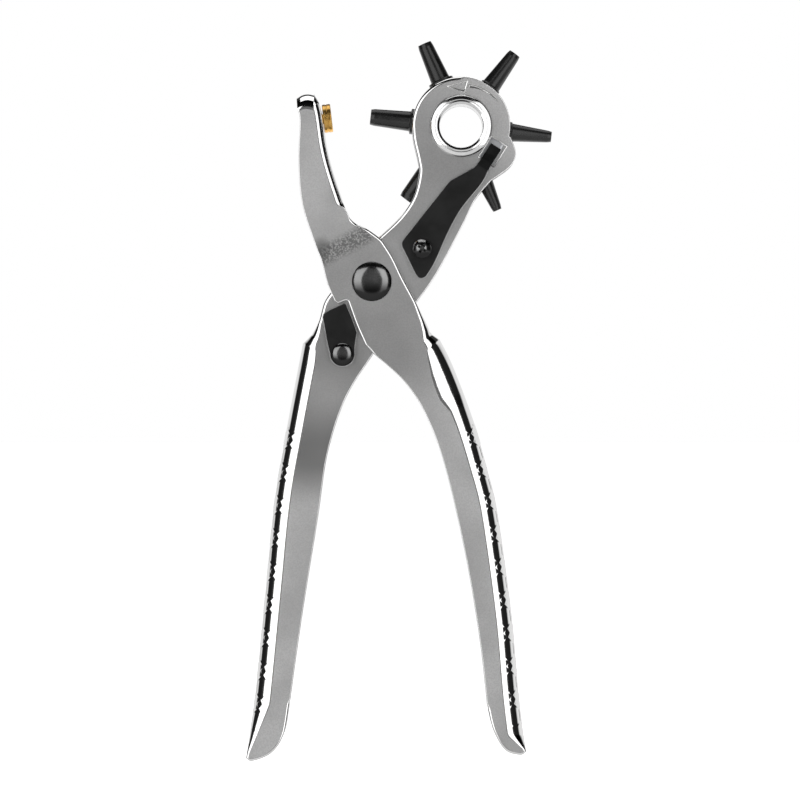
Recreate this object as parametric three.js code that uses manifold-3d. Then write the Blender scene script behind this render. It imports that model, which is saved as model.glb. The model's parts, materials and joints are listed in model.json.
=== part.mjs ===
// Revolving leather punch pliers: two stamped steel arms, a six-tube punch wheel and a brass anvil.
// Millimetres and degrees. X runs to the right, Y to the rear and Z up, with the pivot at the origin.
// The tool stands upright in the XZ plane, jaws up, as a hand holds it half open on its latch.
import * as THREE from 'three';
import { mergeVertices } from 'three/addons/utils/BufferGeometryUtils.js';
import Module from 'manifold-3d';

const wasm = await Module();
wasm.setup();

// ---------------------------------------------------------------- driving dimensions

const SHEET = 1.6; // thickness of both stamped arms
const GAP = 0.3; // running gap between neighbouring pieces

const WHEEL_THICKNESS = 8.0;
const WHEEL_ARM_INSIDE = WHEEL_THICKNESS / 2 + GAP; // half the width between its cheeks
const WHEEL_ARM_OUTSIDE = WHEEL_ARM_INSIDE + SHEET;
const ANVIL_ARM_INSIDE = WHEEL_ARM_OUTSIDE + GAP; // its cheeks straddle the wheel arm
const ANVIL_ARM_OUTSIDE = ANVIL_ARM_INSIDE + SHEET;

const HANDLE_BEND = 5.5; // outer bend radius of the rounded handle backs
const JAW_BEND = 2.4; // outer bend radius round the jaw

const PIVOT_SHANK = 3.0; // radius
const PIVOT_HEAD = 6.1;
const PIVOT_TAIL = 4.6;
const WASHER_RADIUS = 6.0;
const WASHER_THICKNESS = 1.0;
const SLEEVE_RADIUS = 4.6; // spacer tube inside the spring's coil

const WHEEL_CENTRE = [27.6, 48.1];
const HEAD_RADIUS = 15.2; // round end of the wheel arm
const WHEEL_RADIUS = 14.3;
const HUB_HOLE = 6.7; // clear radius through the eyelet
const HUB_WALL = 0.85;
const HUB_FLANGE = 9.15;
const HUB_FLANGE_HEIGHT = 1.3;

const TUBE_SIZES = [2.0, 2.5, 3.0, 3.5, 4.0, 4.5]; // hole each tube punches, in turning order
const TUBE_FIRST_ANGLE = -66.3; // the 2.0 tube, counter-clockwise from +X
const TUBE_STEP = 360 / TUBE_SIZES.length;
const TUBE_REACH = 28.2; // wheel centre to cutting edge
const TUBE_STEM = 2.2;
const TUBE_FLANGE = 3.9;

const DETENT_RADIUS = 12.5; // circle of the click dimples on the wheel's face
const CLOSING_ANGLE = 13.0; // squeeze that brings the anvil to the tube
const ANVIL_FACE = [-12.5, 50.9];
const ANVIL_TILT = CLOSING_ANGLE + TUBE_FIRST_ANGLE + TUBE_STEP; // square to the tube when closed
const ANVIL_RADIUS = 4.4;
const ANVIL_THICKNESS = 2.6;
const ANVIL_STUD = 1.5;

const LATCH_PIVOT = [-9.1, -22.4];
const LATCH_LOBE = 4.0;
const LATCH_SHANK = 1.6;
const LATCH_HEAD = 3.3;

const INDEX_SCREW_PLACE = [15.5, 10.1];
const INDEX_SCREW_SHANK = 1.5;
const INDEX_SCREW_HEAD = 2.9;
const INDEX_SPRING_THICKNESS = 1.2;
const TONGUE_ROOT = [34.7, 36.0]; // where the index spring bends into the slot
const TONGUE_ANGLE = 57.3;
const TONGUE_LENGTH = 6.9;
const TONGUE_WIDTH = 3.7;
const SLOT_WIDTH = 5.3;

const SPRING_WIRE = 0.6; // radius
const SPRING_COIL = 5.8; // mean radius
const SPRING_TURNS = 3;

// ---------------------------------------------------------------- solids

const radians = THREE.MathUtils.degToRad;

/** Signed volume of a closed triangle mesh: negative when its faces point inwards. */
function signedVolume(positions, triangles) {
  const corner = (i) => new THREE.Vector3().fromArray(positions, 3 * triangles[i]);
  let volume = 0;
  for (let i = 0; i < triangles.length; i += 3) {
    volume += corner(i).dot(corner(i + 1).cross(corner(i + 2))) / 6;
  }
  return volume;
}

/** A closed three.js geometry as a manifold solid, turned right side out. */
function solid(geometry) {
  const bare = geometry.index ? geometry.toNonIndexed() : geometry.clone();
  bare.deleteAttribute('normal');
  bare.deleteAttribute('uv');
  const merged = mergeVertices(bare, 1e-4);
  const vertProperties = new Float32Array(merged.attributes.position.array);
  const triVerts = new Uint32Array(merged.index.array);
  if (signedVolume(vertProperties, triVerts) < 0) triVerts.reverse();
  return new wasm.Manifold(new wasm.Mesh({ numProp: 3, vertProperties, triVerts }));
}

/** A manifold solid as a three.js geometry. */
function geometryOf(manifold) {
  const { vertProperties, triVerts } = manifold.getMesh();
  const geometry = new THREE.BufferGeometry();
  geometry.setAttribute('position', new THREE.BufferAttribute(new Float32Array(vertProperties), 3));
  geometry.setIndex(new THREE.BufferAttribute(new Uint32Array(triVerts), 1));
  return geometry;
}

/** Adds stretches to a shape: a line to a single point, or one spline through several. */
function follow(shape, stretches) {
  for (const points of stretches) {
    if (points.length === 1) shape.lineTo(...points[0]);
    else shape.splineThru(points.map((point) => new THREE.Vector2(...point)));
  }
  return shape;
}

/** An outline that starts at a point and follows its stretches. */
function outline(start, ...stretches) {
  const shape = new THREE.Shape();
  shape.moveTo(...start);
  return follow(shape, stretches);
}

/** A flat piece of outline in XZ, from the front face at y = front to the rear face at y = rear. */
function plate(shape, front, rear, curveSegments = 2) {
  const geometry = new THREE.ExtrudeGeometry(shape, {
    depth: rear - front, bevelEnabled: false, curveSegments,
  });
  return solid(geometry.rotateX(Math.PI / 2).translate(0, rear, 0));
}

/** The same outline with both its long edges rounded, for a bend of the given radius. */
function rounded(shape, halfWidth, radius, inset = 0) {
  const round = radius - inset;
  const geometry = new THREE.ExtrudeGeometry(shape, {
    depth: 2 * (halfWidth - radius),
    bevelThickness: round,
    bevelSize: round,
    bevelOffset: -radius,
    bevelSegments: 4,
    curveSegments: 2,
  });
  return solid(geometry.rotateX(Math.PI / 2).translate(0, halfWidth - radius, 0));
}

/** A turned solid on the Y axis from [radius, y] points, moved to a place in XZ. */
function turned(profile, segments, [x, z] = [0, 0]) {
  const closed = [...profile, profile[0]].map(([radius, y]) => new THREE.Vector2(radius, y));
  const geometry = new THREE.LatheGeometry(closed, segments);
  return solid(geometry.translate(x, 0, z));
}

/** A plain round bar along Y, used to drill holes. */
function drill(radius, front, rear, place, segments = 24) {
  const geometry = new THREE.CylinderGeometry(radius, radius, rear - front, segments);
  return solid(geometry.translate(place[0], (front + rear) / 2, place[1]));
}

/** Stands a solid turned about +Y on a ray from a centre at an angle in XZ. */
function alongRay(geometry, [x, z], angle) {
  return solid(geometry.rotateX(Math.PI / 2).rotateY(radians(90 - angle)).translate(x, 0, z));
}

/** A solid of revolution along a ray, from [radius, distance] points. */
function turnedOnRay(profile, segments, centre, angle) {
  const closed = [...profile, profile[0]].map(([radius, along]) => new THREE.Vector2(radius, along));
  return alongRay(new THREE.LatheGeometry(closed, segments), centre, angle);
}

/** A bar in XZ from a root point along an angle, with its side profile given as [along, y]. */
function tongueBar(profile, root, angle, width) {
  const shape = new THREE.Shape(profile.map(([along, y]) => new THREE.Vector2(along, y)));
  const geometry = new THREE.ExtrudeGeometry(shape, { depth: width, bevelEnabled: false });
  geometry.translate(0, 0, -width / 2).rotateY(-radians(angle)).translate(root[0], 0, root[1]);
  return solid(geometry);
}

// ---------------------------------------------------------------- anvil arm

const ANVIL_JAW_END = [[-19.7, 58.1], [-17.4, 57.4], [-16.1, 55.5]];
const ANVIL_JAW_WEB = [[-15.4, 51.0], [-14.4, 42.0], [-12.6, 34.0], [-8.3, 22.8]];
const ANVIL_HANDLE_TOP = [21.0, -17.9];
const ANVIL_HANDLE_BACK = [
  [25.1, -26.2], [31.3, -42.6], [35.6, -57.5], [39.0, -72.0], [43.3, -103.3], [45.6, -128.8], [47.7, -145.2],
];
const JAW_TIP = [-23.3, 56.8];

/** Side view of the anvil arm: jaw at the upper left, handle at the lower right. */
function anvilArmOutline() {
  return outline(
    JAW_TIP,
    ANVIL_JAW_END,
    ANVIL_JAW_WEB,
    [[-6.9, 19.5], [-2.4, 16.0], [3.4, 12.0]],
    [[8.8, 1.5], [15.4, -10.8], [17.6, -14.9]],
    [ANVIL_HANDLE_TOP],
    ANVIL_HANDLE_BACK,
    [[45.9, -146.3], [41.2, -144.8], [37.6, -139.0], [35.7, -131.4]],
    [[33.5, -111.8], [29.2, -85.9], [23.1, -59.1], [17.2, -42.2], [9.6, -30.4], [0.5, -22.1]],
    [[-4.4, -13.6], [-7.4, -6.8]],
    [[-8.2, -6.4]],
    [[-10.3, -6.9]],
    [[-11.1, -6.1]],
    [[-12.7, -0.9], [-16.1, 8.4], [-21.9, 26.7], [-22.6, 37.0], [-22.2, 49.6], JAW_TIP],
  );
}

/** Stamped channel: two cheeks, a web behind the jaw and a rounded web behind the handle. */
function anvilArm() {
  const jaw = outline(
    [-45, 48], [JAW_TIP], ANVIL_JAW_END, ANVIL_JAW_WEB, [[0, 3]], [[-45, 3]],
  );
  const handle = outline(
    [13, -2], [ANVIL_HANDLE_TOP], ANVIL_HANDLE_BACK, [[50.5, -166]], [[-22, -166]], [[-22, -2]],
  );
  // Between the webs the cheeks have plain edges, so the wheel arm can pass between them.
  const middle = outline(
    [-45, 22.8], [[30, 22.8]], [[30, -24.65]], [[13.8, -12.5]], [[-45, -12.5]],
  );
  const skin = rounded(jaw, ANVIL_ARM_OUTSIDE, JAW_BEND)
    .add(rounded(handle, ANVIL_ARM_OUTSIDE, HANDLE_BEND))
    .add(plate(middle, -ANVIL_ARM_OUTSIDE, ANVIL_ARM_OUTSIDE));
  const hollow = rounded(jaw, ANVIL_ARM_OUTSIDE, JAW_BEND, SHEET)
    .add(rounded(handle, ANVIL_ARM_OUTSIDE, HANDLE_BEND, SHEET))
    .add(plate(middle, -ANVIL_ARM_INSIDE, ANVIL_ARM_INSIDE));
  const studHole = new THREE.CylinderGeometry(ANVIL_STUD + GAP, ANVIL_STUD + GAP, 12, 16);
  return plate(anvilArmOutline(), -ANVIL_ARM_OUTSIDE, ANVIL_ARM_OUTSIDE)
    .intersect(skin)
    .subtract(hollow)
    .subtract(drill(PIVOT_SHANK + GAP, -10, 10, [0, 0]))
    .subtract(alongRay(studHole.translate(0, -ANVIL_THICKNESS - 2, 0), ANVIL_FACE, ANVIL_TILT));
}

/** Brass disc that the tubes cut against, on a stud peened behind the jaw's web. */
function anvil() {
  const back = -ANVIL_THICKNESS;
  const tail = back - SHEET - 2 * GAP - 0.1;
  return turnedOnRay([
    [0, 0],
    [ANVIL_RADIUS - 0.4, 0],
    [ANVIL_RADIUS, -0.4],
    [ANVIL_RADIUS, back + 0.3],
    [ANVIL_RADIUS - 0.3, back],
    [ANVIL_STUD, back],
    [ANVIL_STUD, tail],
    [2.6, tail],
    [2.0, tail - 1.1],
    [0, tail - 1.3],
  ], 24, ANVIL_FACE, ANVIL_TILT);
}

// ---------------------------------------------------------------- wheel arm

const WHEEL_HANDLE_TOP = [-21.4, -19.1];
const WHEEL_HANDLE_BACK = [
  [-26.3, -44.7], [-30.2, -67.3], [-33.2, -97.0], [-36.3, -128.1], [-38.9, -147.4],
];

/** Side view of the wheel arm: round head at the upper right, handle at the lower left. */
function wheelArmOutline() {
  const shape = new THREE.Shape();
  const ends = [radians(-12), radians(180)];
  const step = radians(8);
  const count = Math.round((ends[1] - ends[0]) / step);
  for (let i = 0; i <= count; i += 1) {
    const angle = ends[0] + ((ends[1] - ends[0]) * i) / count;
    const x = WHEEL_CENTRE[0] + HEAD_RADIUS * Math.cos(angle);
    const z = WHEEL_CENTRE[1] + HEAD_RADIUS * Math.sin(angle);
    if (i === 0) shape.moveTo(x, z);
    else shape.lineTo(x, z);
  }
  return follow(shape, [
    [[13.0, 43.4], [14.9, 36.4], [15.2, 31.2], [11.9, 22.9], [2.7, 13.3]],
    [[-3.5, 11.6], [-9.0, 7.0], [-12.0, -2.5]],
    [[-14.7, -6.4], [-16.4, -12.3], [-18.6, -16.4]],
    [WHEEL_HANDLE_TOP],
    WHEEL_HANDLE_BACK,
    [[-36.9, -148.3], [-31.1, -145.9], [-27.2, -140.2], [-25.4, -130.2]],
    [[-21.5, -102.8], [-16.8, -73.5], [-13.7, -52.9], [-8.1, -35.9], [0.4, -22.3]],
    [[8.0, -13.5], [18.9, 0.8], [27.8, 17.0], [31.8, 25.1], [36.9, 31.3]],
    [[42.9, 35.7], [44.5, 39.8], [42.9, 44.6]],
  ]);
}

/** Stamped channel: two cheeks that hold the wheel, and a rounded web behind the handle only. */
function wheelArm() {
  const handle = outline(
    [-13, -2], [WHEEL_HANDLE_TOP], WHEEL_HANDLE_BACK, [[-42.5, -168]], [[24, -168]], [[24, -2]],
  );
  const upper = outline(
    [65, 75], [[-32, 75]], [[-32, -30.9]], [[-15.5, -12.5]], [[65, -12.5]],
  );
  const skin = rounded(handle, WHEEL_ARM_OUTSIDE, HANDLE_BEND)
    .add(plate(upper, -WHEEL_ARM_OUTSIDE, WHEEL_ARM_OUTSIDE));
  const hollow = rounded(handle, WHEEL_ARM_OUTSIDE, HANDLE_BEND, SHEET)
    .add(plate(upper, -WHEEL_ARM_INSIDE, WHEEL_ARM_INSIDE));
  const slot = tongueBar(
    [[1.3, -8], [8.5, -8], [8.5, -WHEEL_ARM_INSIDE + 1], [1.3, -WHEEL_ARM_INSIDE + 1]],
    TONGUE_ROOT, TONGUE_ANGLE, SLOT_WIDTH,
  );
  return plate(wheelArmOutline(), -WHEEL_ARM_OUTSIDE, WHEEL_ARM_OUTSIDE)
    .intersect(skin)
    .subtract(hollow)
    .subtract(drill(PIVOT_SHANK + GAP, -10, 10, [0, 0]))
    .subtract(drill(HUB_HOLE + HUB_WALL + GAP, -10, 10, WHEEL_CENTRE, 36))
    .subtract(drill(INDEX_SCREW_SHANK + GAP, -10, 0, INDEX_SCREW_PLACE, 16))
    .subtract(drill(LATCH_SHANK + GAP, -10, 0, LATCH_PIVOT, 16))
    .subtract(slot);
}

// ---------------------------------------------------------------- pivot

/** Domed rivet that joins the arms, peened over a washer at the rear. */
function pivotRivet() {
  const seat = -ANVIL_ARM_OUTSIDE - GAP;
  const tail = ANVIL_ARM_OUTSIDE + 2 * GAP + WASHER_THICKNESS;
  return turned([
    [0, seat - 2.3],
    [2.4, seat - 2.1],
    [4.4, seat - 1.5],
    [5.7, seat - 0.6],
    [PIVOT_HEAD, seat],
    [PIVOT_SHANK, seat],
    [PIVOT_SHANK, tail],
    [PIVOT_TAIL, tail],
    [PIVOT_TAIL - 0.5, tail + 0.9],
    [2.4, tail + 1.5],
    [0, tail + 1.6],
  ], 28);
}

/** Flat ring between two radii and two faces. */
function ring(inner, outer, front, rear, segments) {
  return turned([[inner, front], [inner, rear], [outer, rear], [outer, front]], segments);
}

/** Torsion spring round the sleeve, with one leg in each handle. */
function returnSpring() {
  const pitch = 2 * SPRING_WIRE + 0.3;
  const rise = (SPRING_TURNS + 0.5) * pitch;
  const stepsPerTurn = 12;
  const coilSteps = (SPRING_TURNS + 0.5) * stepsPerTurn;
  const points = [
    new THREE.Vector3(-22.4, -rise / 2, -44.0),
    new THREE.Vector3(-11.2, -rise / 2, -17.0),
  ];
  for (let i = 0; i <= coilSteps; i += 1) {
    const angle = Math.PI - (2 * Math.PI * i) / stepsPerTurn;
    const y = -rise / 2 + (rise * i) / coilSteps;
    points.push(new THREE.Vector3(SPRING_COIL * Math.cos(angle), y, SPRING_COIL * Math.sin(angle)));
  }
  points.push(new THREE.Vector3(13.2, rise / 2, -16.0), new THREE.Vector3(27.6, rise / 2, -41.5));
  const path = new THREE.CatmullRomCurve3(points, false, 'centripetal');
  const section = new THREE.Shape();
  section.absarc(0, 0, SPRING_WIRE, 0, 2 * Math.PI);
  const steps = 76;
  return solid(new THREE.ExtrudeGeometry(section, {
    steps, extrudePath: path, curveSegments: 3, bevelEnabled: false,
  }));
}

// ---------------------------------------------------------------- punch wheel

/** Round carrier with six radial seats, a slug hole behind each and a click dimple between them. */
function punchWheel() {
  const half = WHEEL_THICKNESS / 2;
  const bore = HUB_HOLE + HUB_WALL + GAP;
  let wheel = turned([
    [bore, -half],
    [bore, half],
    [WHEEL_RADIUS - 0.5, half],
    [WHEEL_RADIUS, half - 0.5],
    [WHEEL_RADIUS, -half + 0.5],
    [WHEEL_RADIUS - 0.5, -half],
  ], 36, WHEEL_CENTRE);
  TUBE_SIZES.forEach((size, i) => {
    const angle = TUBE_FIRST_ANGLE + i * TUBE_STEP;
    const seat = turnedOnRay([
      [0, 5.0], [1.4, 5.0], [1.4, 9.9], [TUBE_STEM + GAP, 9.9], [TUBE_STEM + GAP, 18], [0, 18],
    ], 16, WHEEL_CENTRE, angle);
    const between = radians(angle + TUBE_STEP / 2);
    const dimple = turned(
      [[0, -half + 0.8], [1.2, -half - 0.4], [0, -half - 0.4]], 12,
      [
        WHEEL_CENTRE[0] + DETENT_RADIUS * Math.cos(between),
        WHEEL_CENTRE[1] + DETENT_RADIUS * Math.sin(between),
      ],
    );
    wheel = wheel.subtract(seat).subtract(dimple);
  });
  return wheel;
}

/** Hollow cutting tube: stem in the wheel, flange on its rim, taper to the cutting edge. */
function punchTube(size, angle) {
  const smallest = TUBE_SIZES[0];
  const share = (size - smallest) / (TUBE_SIZES[TUBE_SIZES.length - 1] - smallest);
  const bore = size / 2 - 0.15;
  const edge = size / 2 + 0.12;
  const base = 2.4 + 0.5 * share;
  const flange = WHEEL_RADIUS + GAP;
  const inner = Math.min(bore, TUBE_STEM - 0.4);
  return turnedOnRay([
    [inner, 10.2],
    [TUBE_STEM, 10.2],
    [TUBE_STEM, flange],
    [TUBE_FLANGE, flange],
    [TUBE_FLANGE, flange + 1.1],
    [base, flange + 1.3],
    [edge + 0.25, TUBE_REACH - 1.2],
    [edge, TUBE_REACH],
    [bore, TUBE_REACH],
    [bore, flange + 1.3],
    [inner, flange],
  ], 16, WHEEL_CENTRE, angle);
}

/** Rolled eyelet that the wheel turns on. */
function hubEyelet() {
  const seat = WHEEL_ARM_OUTSIDE + GAP;
  const wall = HUB_HOLE + HUB_WALL;
  const crest = seat + HUB_FLANGE_HEIGHT;
  const half = [
    [HUB_FLANGE, seat], [HUB_FLANGE, crest - 0.5], [HUB_FLANGE - 0.5, crest],
    [HUB_HOLE + 0.8, crest], [HUB_HOLE, crest - 0.7],
  ];
  const front = half.map(([radius, y]) => [radius, -y]).reverse();
  return turned([[wall, seat], ...half, ...front, [wall, -seat]], 32, WHEEL_CENTRE);
}

// ---------------------------------------------------------------- index spring and latch

/** Pressed spring that clicks the wheel round: a flat leaf with a tongue bent into the slot. */
function indexSpring() {
  const under = -WHEEL_ARM_OUTSIDE - GAP;
  const top = under - INDEX_SPRING_THICKNESS;
  const dip = -WHEEL_THICKNESS / 2 - 0.4;
  const leaf = outline(
    [33.2, 36.9],
    [[30.8, 34.5]],
    [[26.4, 32.6], [24.2, 31.0], [21.3, 26.9]],
    [[9.7, 12.4]],
    [[9.2, 11.2], [9.6, 9.9]],
    [[13.4, 2.3]],
    [[14.4, 1.1], [15.6, 0.9], [16.8, 1.5]],
    [[19.5, 6.0], [23.6, 15.2], [27.7, 22.5], [34.0, 30.4], [36.3, 34.9]],
  );
  const dipTop = dip - INDEX_SPRING_THICKNESS;
  const tongue = tongueBar([
    [-1.0, top], [1.5, top], [3.9, dipTop], [TONGUE_LENGTH, dipTop],
    [TONGUE_LENGTH, dip], [4.0, dip], [1.7, under], [-1.0, under],
  ], TONGUE_ROOT, TONGUE_ANGLE, TONGUE_WIDTH);
  return plate(leaf, top, under)
    .add(tongue)
    .subtract(drill(INDEX_SCREW_SHANK + GAP, -10, 0, INDEX_SCREW_PLACE, 16));
}

/** Pan-head screw with a cross recess. */
function indexScrew() {
  const seat = -WHEEL_ARM_OUTSIDE - GAP - INDEX_SPRING_THICKNESS - 0.6;
  const screw = turned([
    [0, seat - 1.9],
    [1.6, seat - 1.75],
    [INDEX_SCREW_HEAD - 0.3, seat - 1.1],
    [INDEX_SCREW_HEAD, seat - 0.4],
    [INDEX_SCREW_HEAD, seat],
    [INDEX_SCREW_SHANK, seat],
    [INDEX_SCREW_SHANK, -1.2],
    [0, -1.2],
  ], 24, INDEX_SCREW_PLACE);
  const arm = new THREE.BoxGeometry(3.0, 2.4, 0.7).translate(0, seat - 1.9, 0);
  const cross = solid(arm.clone().rotateY(radians(35))).add(solid(arm.clone().rotateY(radians(125))));
  return screw.subtract(cross.translate([INDEX_SCREW_PLACE[0], 0, INDEX_SCREW_PLACE[1]]));
}

/** Hexagon nut behind the wheel arm's front cheek. */
function indexNut() {
  const front = -WHEEL_ARM_INSIDE + GAP;
  const hexagon = new THREE.CylinderGeometry(3.0, 3.0, 2.0, 6).translate(
    INDEX_SCREW_PLACE[0], front + 1.0, INDEX_SCREW_PLACE[1],
  );
  return solid(hexagon).subtract(drill(INDEX_SCREW_SHANK + GAP, -10, 10, INDEX_SCREW_PLACE, 16));
}

/** Latch plate that fills the notch of the anvil arm and holds the handles at this opening. */
function latch() {
  const [x, z] = LATCH_PIVOT;
  const shape = outline(
    [x + LATCH_LOBE, z],
    [[-5.0, -16.6]],
    [[-5.3, -13.4], [-7.4, -8.6], [-8.3, -7.2]],
    [[-10.8, -7.7], [-13.7, -9.1], [-15.3, -11.2]],
    [[-14.6, -16.1]],
    [[-14.0, -18.6], [x - LATCH_LOBE, z]],
  ).absarc(x, z, LATCH_LOBE, Math.PI, 2 * Math.PI, false);
  const front = -ANVIL_ARM_OUTSIDE + 0.1;
  return plate(shape, front, -WHEEL_ARM_OUTSIDE - GAP, 4)
    .subtract(drill(LATCH_SHANK + GAP, -10, 0, LATCH_PIVOT, 16));
}

/** Domed rivet of the latch, peened inside the handle. */
function latchRivet() {
  const seat = -ANVIL_ARM_OUTSIDE - GAP;
  const tail = -WHEEL_ARM_INSIDE + GAP;
  return turned([
    [0, seat - 1.6],
    [1.5, seat - 1.4],
    [2.7, seat - 0.8],
    [LATCH_HEAD, seat],
    [LATCH_SHANK, seat],
    [LATCH_SHANK, tail],
    [2.5, tail],
    [2.0, tail + 0.9],
    [0, tail + 1.1],
  ], 24, LATCH_PIVOT);
}

// ---------------------------------------------------------------- assembly

const FINISHES = {
  satinSteel: { color: 0xa9a9a8, roughness: 0.34, metalness: 1.0 },
  blackOxide: { color: 0x1c1c1e, roughness: 0.42, metalness: 0.6 },
  brightSteel: { color: 0xd9dadb, roughness: 0.12, metalness: 1.0 },
  zincSteel: { color: 0xb5b8ba, roughness: 0.35, metalness: 1.0 },
  springSteel: { color: 0x6c6e70, roughness: 0.3, metalness: 1.0 },
  brass: { color: 0xc9a24a, roughness: 0.28, metalness: 1.0 },
};

const tool = new THREE.Group();

/** Adds one named piece in its own material. */
function addPiece(name, manifold, finish) {
  const mesh = new THREE.Mesh(geometryOf(manifold), new THREE.MeshStandardMaterial(FINISHES[finish]));
  mesh.name = name;
  tool.add(mesh);
}

addPiece('wheel_arm', wheelArm(), 'satinSteel');
addPiece('anvil_arm', anvilArm(), 'satinSteel');
addPiece('anvil', anvil(), 'brass');
addPiece('pivot_rivet', pivotRivet(), 'blackOxide');
const washerSeat = ANVIL_ARM_OUTSIDE + GAP;
addPiece('pivot_washer', ring(
  PIVOT_SHANK + GAP, WASHER_RADIUS, washerSeat, washerSeat + WASHER_THICKNESS, 32,
), 'zincSteel');
addPiece('pivot_sleeve', ring(
  PIVOT_SHANK + GAP, SLEEVE_RADIUS, -WHEEL_ARM_INSIDE + GAP, WHEEL_ARM_INSIDE - GAP, 24,
), 'zincSteel');
addPiece('return_spring', returnSpring(), 'springSteel');
addPiece('punch_wheel', punchWheel(), 'zincSteel');
TUBE_SIZES.forEach((size, i) => {
  const name = `punch_tube_${size.toFixed(1).replace('.', '_')}`;
  addPiece(name, punchTube(size, TUBE_FIRST_ANGLE + i * TUBE_STEP), 'blackOxide');
});
addPiece('hub_eyelet', hubEyelet(), 'brightSteel');
addPiece('index_spring', indexSpring(), 'blackOxide');
addPiece('index_screw', indexScrew(), 'blackOxide');
addPiece('index_nut', indexNut(), 'zincSteel');
addPiece('latch', latch(), 'blackOxide');
addPiece('latch_rivet', latchRivet(), 'blackOxide');

export default tool;
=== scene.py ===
"""Looks of the revolving leather punch pliers: fine meshes, materials, light and camera around the frame."""

import json
import math

import bmesh
import bpy
import numpy as np
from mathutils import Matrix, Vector

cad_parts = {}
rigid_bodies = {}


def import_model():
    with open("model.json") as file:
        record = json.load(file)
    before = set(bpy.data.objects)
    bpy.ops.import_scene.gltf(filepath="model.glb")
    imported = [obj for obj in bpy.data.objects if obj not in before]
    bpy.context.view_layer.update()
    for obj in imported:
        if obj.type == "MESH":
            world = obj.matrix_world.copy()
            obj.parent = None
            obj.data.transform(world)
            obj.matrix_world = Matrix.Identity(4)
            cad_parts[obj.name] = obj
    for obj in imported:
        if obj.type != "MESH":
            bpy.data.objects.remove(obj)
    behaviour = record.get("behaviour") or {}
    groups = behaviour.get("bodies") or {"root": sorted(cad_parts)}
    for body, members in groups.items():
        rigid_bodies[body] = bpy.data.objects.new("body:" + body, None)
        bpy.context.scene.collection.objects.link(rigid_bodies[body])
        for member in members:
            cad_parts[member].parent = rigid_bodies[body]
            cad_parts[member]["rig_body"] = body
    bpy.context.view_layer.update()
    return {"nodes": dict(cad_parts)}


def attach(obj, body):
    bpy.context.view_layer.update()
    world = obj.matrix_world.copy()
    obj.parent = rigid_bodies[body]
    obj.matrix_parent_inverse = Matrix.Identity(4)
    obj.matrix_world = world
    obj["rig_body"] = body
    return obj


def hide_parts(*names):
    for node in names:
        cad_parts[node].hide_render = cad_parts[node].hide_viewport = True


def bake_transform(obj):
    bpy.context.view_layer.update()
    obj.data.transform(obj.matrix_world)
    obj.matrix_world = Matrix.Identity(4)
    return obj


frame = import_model()

# Lengths below are millimetres in the frame's own axes: X right, Y to the rear, Z up, pivot at the origin.
MM = 0.001

# ---- driving dimensions

SHEET = 1.6
GAP = 0.3
WHEEL_THICKNESS = 8.0
WHEEL_ARM_INSIDE = WHEEL_THICKNESS / 2 + GAP
WHEEL_ARM_OUTSIDE = WHEEL_ARM_INSIDE + SHEET
ANVIL_ARM_INSIDE = WHEEL_ARM_OUTSIDE + GAP
ANVIL_ARM_OUTSIDE = ANVIL_ARM_INSIDE + SHEET

HANDLE_BEND = 5.5
HANDLE_BEND_REACH = 5.4  # how far in the bend of a handle back starts
JAW_BEND = 2.3
JAW_END_BEND = 5.1
FREE_EDGE = 0.25
NOTCH_EDGE = 0.55
PLAIN_EDGE = 0.9
WHEEL_ARM_EDGE = 1.1
EDGE_DEPTH = 0.75  # depth of a rolled sheet edge as a share of its width
ROUND_BEND = 2.2  # bends from here up to HANDLE_BEND are as deep as wide
BEND_RINGS = 42  # steps round each quarter bend
WALL_RINGS = 14  # steps across the flat of a web
FINE, TIGHT, CLOSE, MEDIUM, COARSE = 0.2, 0.3, 0.35, 0.45, 0.9  # steps along an outline
STRAIGHT = 99  # step for straight sides, longer than most of them
SHARP = 0.01  # radius of an edge that isn't rounded
THROUGH = 10  # reach of a cutter that goes through both arms
DOME_STEPS = 36
SMOOTH_ANGLE = 32.0  # edges that turn by more stay sharp

PIVOT_SHANK = 3.0
PIVOT_HEAD = 6.1
PIVOT_CROWN = 1.25
WHEEL_CENTRE = (27.6, 48.1)
HEAD_RADIUS = 15.2
WHEEL_RADIUS = 14.3
HUB_HOLE = 6.7
HUB_WALL = 0.85
HUB_FLANGE = 9.65
HUB_CREST = 1.3
TUBE_SIZES = (2.0, 2.5, 3.0, 3.5, 4.0, 4.5)
TUBE_FIRST_ANGLE = -66.3
TUBE_STEP = 360 / len(TUBE_SIZES)
TUBE_REACH = 28.2
TUBE_STEM = 2.2
TUBE_FLANGE = 3.95
FIRST_FLANGED = 3.5
DETENT_RADIUS = 12.5
CLOSING_ANGLE = 13.0
ANVIL_FACE = (-12.5, 50.9)
ANVIL_TILT = CLOSING_ANGLE + TUBE_FIRST_ANGLE + TUBE_STEP
ANVIL_RADIUS = 4.4
ANVIL_THICKNESS = 2.6
ANVIL_STUD = 1.5
LATCH_PIVOT = (-9.1, -22.4)
LATCH_LOBE = 4.0
LATCH_SHANK = 1.6
LATCH_HEAD = 3.3
LATCH_CROWN = 0.75
RIVET_DOME = 4  # power of the curve of a rivet head, flatter in the middle when higher
WASHER_RADIUS = 6.0
WASHER_THICKNESS = 1.0
SLEEVE_RADIUS = 4.6
SCREW_PLACE = (15.5, 10.1)
SCREW_SHANK = 1.5
SCREW_HEAD = 2.9
SCREW_CROWN = 1.5
SCREW_DOME = 2.2
SCREW_TURN = 35.0
RECESS_WIDTH = 0.85
LEAF_THICKNESS = 1.2
TONGUE_ROOT = (34.7, 36.0)
TONGUE_ANGLE = 57.3
TONGUE_LENGTH = 6.9
TONGUE_WIDTH = 3.7
SLOT_WIDTH = 5.3
SPRING_WIRE = 0.6
SPRING_COIL = 5.8
SPRING_TURNS = 3.5

# ---- outlines


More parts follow.
